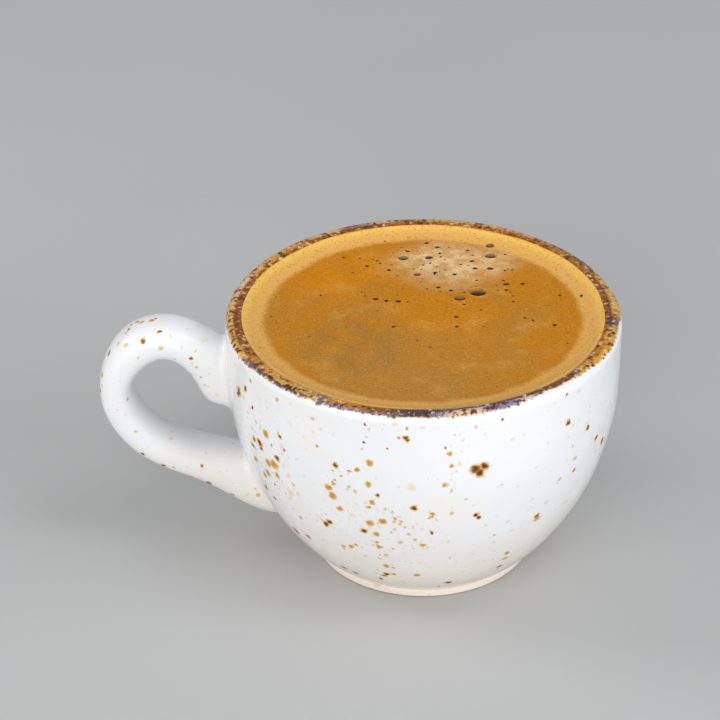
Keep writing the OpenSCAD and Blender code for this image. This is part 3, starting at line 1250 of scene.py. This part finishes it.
    def _filleted(self, points: np.ndarray, centre: np.ndarray) -> np.ndarray:
        """Spreads the handle's points where they come near the bowl, as _handle says.

        Args:
            points: rings x points x 3.
            centre: the middle of each ring.

        Returns:
            The points, moved.
        """
        s, fillet = self.sizes, self.handle.fillet
        from_axis = np.hypot(points[..., 0], points[..., 1])
        slope = s.bowl_slope(points[..., 2])
        steep = np.sqrt(1 + slope**2)
        away = (from_axis - s.bowl_radius(points[..., 2])) / steep
        normal = np.stack([points[..., 0] / from_axis / steep, points[..., 1] / from_axis / steep,
                           -slope / steep], axis=-1)
        arm = points - centre[:, None]
        arm -= (arm * normal).sum(-1, keepdims=True) * normal
        arm /= np.linalg.norm(arm, axis=-1, keepdims=True) + 1e-9
        near = 1 - np.clip(away / fillet, 0, 1)
        spread = fillet * (1 - np.sqrt(1 - near**2))
        return points + arm * spread[..., None]


# The bubbles that stand out in the crema: place across and towards the back, and width
BUBBLES = {
    BubbleKind.CLEAR: (
        (9.3, 8.5, 2.9), (1, 20.6, 1.5), (11.5, 16.7, 1.3), (8.9, 16.7, 1.1), (0.6, 25.6, 0.9),
        (2.5, 24.1, 1.0), (-2.6, 22.7, 0.8), (-9.6, 17.5, 0.8), (-5.8, 16.2, 0.9), (2.1, 15.4, 0.9),
        (5.4, 14.7, 0.9), (8.4, 19.2, 1.0), (-8, 6.4, 1.2), (-6.2, 5.7, 0.9), (-4.2, 5.6, 1.1),
        (2.6, 10.3, 0.9), (4.7, 9.3, 0.9), (14.1, 11.3, 1.3), (16.9, 11.4, 0.9), (14.1, 9.3, 0.8),
        (5.5, 0.4, 0.9), (5.6, -2.7, 0.7), (-4.9, -2.7, 0.8), (16.9, 0.1, 0.7), (18.3, -0.6, 0.6),
        (21.8, -2, 0.8), (7.7, 23, 0.8), (2.9, 22, 0.7), (14.1, 21.6, 0.6), (8.6, 21.3, 0.6),
        (14, 16, 0.6), (23, 7.6, 0.6), (26.6, 7.2, 0.7), (6.9, 4.5, 0.6), (-7.4, 18.5, 0.6),
        (-13.7, 20.6, 0.6), (15.1, 5.5, 0.6), (15.2, 7.3, 0.5), (-17.3, 7.6, 0.5),
    ),
    BubbleKind.CLOUDED: (
        (6.2, 6.6, 2.0), (-3.4, 20.3, 1.8), (11.6, 21, 2.1), (11.6, 24.6, 1.5), (-1, 14.7, 1.4),
    ),
}


@dataclass(frozen=True)
class Crema:
    """The foam layer, a closed disc whose top has a raised edge and open bubbles."""

    sizes: CremaSizes
    rows: int = 186
    columns: int = 470
    back_share: float = 2.4
    pit_depth: float = 0.45
    pit_lip: float = 0.07
    small_bubbles: int = 30
    seed: int = 11
    film_from: float = 0.95
    film_share: float = 0.84
    film_rise: float = 0.16
    film_sunk: float = 0.03
    film_skin: float = 0.03
    film_around: int = 20

    def bubbles(self) -> tuple[Bubble, ...]:
        """The bubbles of BUBBLES, and small seeded ones that gather round them.

        Returns:
            All of them, the small ones last.
        """
        draw = np.random.default_rng(self.seed)
        x = draw.normal(3.5, 7.5, self.small_bubbles)
        y = draw.normal(14.0, 6.5, self.small_bubbles)
        width = draw.uniform(0.35, 0.6, self.small_bubbles)
        inside = np.hypot(x, y) < self.sizes.inside_radius - self.sizes.edge_width - 1
        small = (Bubble(*row) for row in np.stack([x, y, width], axis=1)[inside])
        placed = (Bubble(*row, kind) for kind, rows in BUBBLES.items() for row in rows)
        return (*placed, *small)

    def height(self, x: np.ndarray, y: np.ndarray) -> tuple[np.ndarray, np.ndarray]:
        """Height of the crema's top, and how far each point is inside a bubble.

        The middle is level with slow swells of a few hundredths. Over the edge's width the top
        climbs by rise * u^1.5. A bubble sinks it by depth * width * (1 - d^2)^0.7, where d is the
        distance from its middle by its radius, with a low round lip just outside.

        Args:
            x: places across.
            y: places towards the back.

        Returns:
            Heights in mm, and the pit numbers from 0 to 1.
        """
        s = self.sizes
        r = np.hypot(x, y)
        u = np.clip((r - s.inside_radius + s.edge_width) / s.edge_width, 0, 1)
        z = s.level + s.rise * u**1.5
        z = z + 0.03 * np.sin(0.31 * x + 0.22 * y + 1) + 0.02 * np.sin(0.5 * y - 0.37 * x + 2)
        pit = np.zeros_like(z)
        for bubble in self.bubbles():
            radius = bubble.width / 2
            d = np.hypot(x - bubble.x, y - bubble.y) / radius
            sunk = np.maximum(1 - d**2, 0) ** 0.7
            z -= self.pit_depth * bubble.width * sunk
            z += self.pit_lip * bubble.width * np.exp(-(((d - 1.12) / 0.16) ** 2))
            pit = np.maximum(pit, np.clip((1.05 - d) / 0.35, 0, 1))
        return z, pit

    def build(self) -> bpy.types.Object:
        """Makes the disc: a polar grid over the top, then the side in the wall and the underside.

        The grid's angles lie closer together at the back, where the bubbles are.

        Returns:
            The object, with each point's pit number.
        """
        s = self.sizes
        spread = np.linspace(0, 2 * math.pi, 721)
        density = 1 + self.back_share * np.clip(-np.cos(spread) * 2, 0, 1)
        total = np.concatenate([[0], np.cumsum((density[1:] + density[:-1]) / 2)])
        share = np.arange(self.columns) / self.columns
        turn = np.interp(share, total / total[-1], spread)
        outer = s.inside_radius + s.into_wall
        r = np.linspace(0, outer, self.rows + 1)[1:, None]
        x, y = r * np.sin(turn), -r * np.cos(turn)
        z, pit = self.height(x, y)
        top = np.stack([x, y, z], axis=-1)
        side = np.array([0.5, 0.0]) * (z[-1].mean() - s.under_z) + s.under_z
        rings = [np.stack([x[-1], y[-1], np.full_like(turn, level)], axis=-1) for level in side]
        rings += [np.stack([x[k], y[k], np.full_like(turn, s.under_z)], axis=-1)
                  for k in (int(self.rows * 0.66), int(self.rows * 0.33))]
        points = np.concatenate([top, np.stack(rings)])[::-1]
        pit = np.concatenate([pit, np.zeros((len(rings), self.columns))])[::-1]
        middle, middle_pit = self.height(np.zeros(1), np.zeros(1))
        flat, quads, triangles = closed_grid(
            points, np.array([0, 0, s.under_z]), np.array([0, 0, middle[0]]))
        values = {"pit": np.concatenate([pit.ravel(), [0.0], middle_pit])}
        return make_mesh("crema_top", flat, quads, triangles, values)

    def films(self) -> bpy.types.Object:
        """Makes a low dome of film over each of the wider bubbles.

        A dome is a cap of height h over radius r: z = h * (1 - q^2), with q from 0 in the middle
        to 1 at the edge, closed by the same cap a skin's thickness lower. Its cloud number grows
        towards the back, a painted reflection of the sky on each dome's far half, and thins out
        towards the edge.

        Returns:
            The object, with each point's cloud number.
        """
        q = np.linspace(1, 0.14, 6)[:, None]
        a = np.arange(self.film_around) * 2 * math.pi / self.film_around
        shapes, quads, triangles, clouds, count = [], [], [], [], 0
        for bubble in (b for b in self.bubbles() if b.width > self.film_from):
            radius = bubble.width / 2 * self.film_share
            base = self.sizes.level - self.film_sunk
            high = self.film_rise * bubble.width
            x, y = bubble.x + radius * q * np.cos(a), bubble.y + radius * q * np.sin(a)
            rise = high * (1 - q**2) + 0 * a
            upper = np.stack([x, y, base + rise], axis=-1)
            lower = np.stack([x, y, base + rise - self.film_skin], axis=-1)
            rings = np.concatenate([lower[::-1], upper])
            top = np.array([bubble.x, bubble.y, base + high])
            flat, some_quads, some_triangles = closed_grid(rings, top - [0, 0, self.film_skin], top)
            # The cover grows towards each dome's back: a painted reflection of the sky on top of the
            # film's cloudiness
            back = np.clip(((flat[:, 1] - bubble.y) / radius + 1) / 2, 0, 1)
            thick = 0.60 if bubble.kind is BubbleKind.CLOUDED else 0.20
            edge = np.hypot(flat[:, 0] - bubble.x, flat[:, 1] - bubble.y) / radius
            clouds.append(np.clip(thick * (0.3 + back) * (1.1 - edge**2), 0, 0.9))
            shapes.append(flat)
            quads.append(some_quads + count)
            triangles.append(some_triangles + count)
            count += len(flat)
        return make_mesh("bubble_films", np.concatenate(shapes), np.concatenate(quads),
                         np.concatenate(triangles), {"cloud": np.concatenate(clouds)})


# --- Studio ---


@dataclass(frozen=True)
class Softbox:
    """A square soft light: its place and size in metres, its power in watts and its tint."""

    name: str
    place: Place
    size: float
    power: float
    tint: Colour = (1.0, 1.0, 1.0)


LIGHTS = (
    Softbox("key", (-0.32, -0.90, 0.33), 0.9, 7.6, (1.0, 0.99, 0.97)),
    Softbox("fill", (0.90, -0.40, 0.35), 0.9, 6.2, (0.96, 0.98, 1.0)),
    Softbox("top", (0.35, -0.20, 0.80), 0.30, 1.15, (0.95, 0.975, 1.0)),
    Softbox("glint", (-0.75, 0.10, 0.55), 0.35, 2.0),
)


@dataclass(frozen=True)
class Studio:
    """Pale floor, soft lights and camera."""

    floor_tint: Colour = (0.50, 0.50, 0.495)
    floor_shade: float = 0.97
    floor_half: float = 1500.0
    light_aim: float = 0.02
    sky_tint: Colour = (0.93, 0.96, 1.0)
    sky_strength: float = 0.40
    camera_away: float = 495.0
    camera_rise: float = 30.49
    lens: float = 148.79
    sensor: float = 36.0
    rim_middle: tuple[float, float] = (0.0876, 0.0679)

    def build(self, rim_z: float) -> None:
        """Sets the stage.

        Args:
            rim_z: height of the cup's rim in mm, which the camera is aimed by.
        """
        self._floor()
        self._sky()
        for light in LIGHTS:
            self._softbox(light)
        self._camera(rim_z)
        bpy.context.scene.view_settings.view_transform = "Standard"

    def _floor(self) -> None:
        """A pale matt floor at the foot's level, far wider than the view."""
        half = self.floor_half
        corners = np.array([[-half, -half, 0], [half, -half, 0], [half, half, 0], [-half, half, 0]])
        floor = make_mesh("floor", corners, np.array([[0, 1, 2, 3]]), np.zeros((0, 3), int))
        net = Net("pale_floor")
        tone = net.noise(net.place(), 0.01).step(0.3, 0.7)
        darker = tuple(part * self.floor_shade for part in self.floor_tint)
        shade = net.blend(self.floor_tint, (darker, tone))
        floor.data.materials.append(net.finish({"Base Color": shade, "Roughness": 0.7}))

    def _sky(self) -> None:
        """Even pale light from all round."""
        world = bpy.data.worlds.new("studio")
        world.use_nodes = True
        sky = world.node_tree.nodes["Background"]
        sky.inputs["Color"].default_value = (*self.sky_tint, 1.0)
        sky.inputs["Strength"].default_value = self.sky_strength
        bpy.context.scene.world = world

    def _softbox(self, light: Softbox) -> None:
        """A square area light aimed at the cup.

        Args:
            light: its name, place and power.
        """
        data = bpy.data.lights.new(light.name, "AREA")
        data.size = light.size
        data.energy = light.power
        data.color = light.tint
        lamp = linked(light.name, data)
        place = Vector(light.place)
        aim = (Vector((0, 0, self.light_aim)) - place).to_track_quat("-Z", "Y")
        lamp.matrix_world = Matrix.Translation(place) @ aim.to_matrix().to_4x4()

    def _camera(self, rim_z: float) -> None:
        """The camera, turned so that the rim's middle stands right of and above the centre.

        It first looks straight at the middle of the rim, then turns about its own upright and
        level axes by the angles at which that point is to be seen.

        Args:
            rim_z: height of the rim in mm.
        """
        data = bpy.data.cameras.new("camera")
        data.lens = self.lens
        data.sensor_width = self.sensor
        camera = linked("camera", data)
        rise = math.radians(self.camera_rise)
        target = Vector((0, 0, rim_z * MM))
        place = target + Vector((0, -math.cos(rise), math.sin(rise))) * self.camera_away * MM
        half = self.sensor / 2 / self.lens
        right, up = (math.atan(half * 2 * share) for share in self.rim_middle)
        look = (target - place).to_track_quat("-Z", "Y").to_matrix()
        turn = Matrix.Rotation(right, 3, "Y") @ Matrix.Rotation(-up, 3, "X")
        camera.matrix_world = Matrix.Translation(place) @ (look @ turn).to_4x4()
        bpy.context.scene.camera = camera


def main() -> None:
    """Builds the cup, the crema, its bubbles and the studio."""
    logging.basicConfig(level=logging.INFO, format="%(name)s: %(message)s")
    sizes = CupSizes.from_frame()
    cup = Cup(sizes, HandleSizes())
    settle(cup.build(), Glaze().material(sizes), Slot.GLAZE, "cup")
    levels = CremaSizes.from_frame(sizes)
    crema = Crema(levels)
    settle(crema.build(), Foam().material(levels), Slot.CREMA, "crema")
    settle(crema.films(), Film().material(), Slot.CREMA)
    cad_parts["espresso"].material_slots[0].material = Liquid().material()
    LOG.info("espresso: the node itself, with the coffee's finish")
    Studio().build(sizes.height)


if __name__ == "__main__":
    main()
